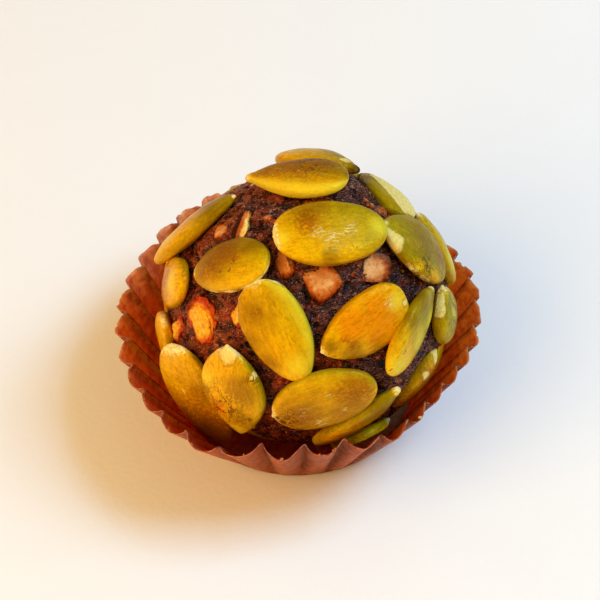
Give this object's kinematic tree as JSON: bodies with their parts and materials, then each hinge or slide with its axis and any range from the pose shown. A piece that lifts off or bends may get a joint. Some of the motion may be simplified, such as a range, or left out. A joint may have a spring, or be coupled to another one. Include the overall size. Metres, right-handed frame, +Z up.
{
  "type": "energy ball",
  "caption": "Round date and nut energy ball coated with hulled pumpkin seeds, standing in a fluted paper case.",
  "frame": {"origin": "centre of the paper case's flat base, on the surface it rests on", "axes": "+Z up; -Y is the front, the side that the best side of the seed coat faces; +X is to the right seen from the front"},
  "size_m": [0.0402, 0.041, 0.033],
  "materials": {
    "paper": "matte",
    "dough": "satin",
    "seed_gold": "satin",
    "seed_amber": "satin",
    "seed_olive": "satin",
    "seed_green": "satin",
    "seed_ochre": "satin",
    "nut": "matte",
    "fruit": "satin"
  },
  "bodies": {
    "root": {"paper_case": "paper", "pumpkin_seed_01": "seed_gold", "pumpkin_seed_02": "seed_amber", "pumpkin_seed_03": "seed_olive", "pumpkin_seed_04": "seed_green", "pumpkin_seed_05": "seed_ochre", "pumpkin_seed_06": "seed_gold", "pumpkin_seed_07": "seed_amber", "pumpkin_seed_08": "seed_olive", "pumpkin_seed_09": "seed_green", "pumpkin_seed_10": "seed_ochre", "pumpkin_seed_11": "seed_gold", "pumpkin_seed_12": "seed_amber", "pumpkin_seed_13": "seed_olive", "pumpkin_seed_14": "seed_green", "pumpkin_seed_15": "seed_ochre", "pumpkin_seed_16": "seed_gold", "pumpkin_seed_17": "seed_amber", "pumpkin_seed_18": "seed_olive", "pumpkin_seed_19": "seed_green", "pumpkin_seed_20": "seed_ochre", "pumpkin_seed_21": "seed_gold", "pumpkin_seed_22": "seed_amber", "pumpkin_seed_23": "seed_olive", "pumpkin_seed_24": "seed_green", "pumpkin_seed_25": "seed_ochre", "pumpkin_seed_26": "seed_gold", "pumpkin_seed_27": "seed_amber", "pumpkin_seed_28": "seed_olive", "pumpkin_seed_29": "seed_green", "pumpkin_seed_30": "seed_ochre", "pumpkin_seed_31": "seed_gold", "pumpkin_seed_32": "seed_amber", "pumpkin_seed_33": "seed_olive", "pumpkin_seed_34": "seed_green", "pumpkin_seed_35": "seed_ochre", "pumpkin_seed_36": "seed_gold", "pumpkin_seed_37": "seed_amber", "pumpkin_seed_38": "seed_olive", "nut_piece_1": "nut", "nut_piece_2": "nut", "nut_piece_3": "nut", "nut_piece_4": "nut", "nut_sliver": "nut", "nut_piece_5": "nut", "nut_piece_6": "nut", "fruit_piece_1": "fruit", "fruit_piece_2": "fruit", "fruit_piece_3": "fruit", "fruit_piece_4": "fruit", "dough_ball": "dough"}
  },
  "joints": []
}
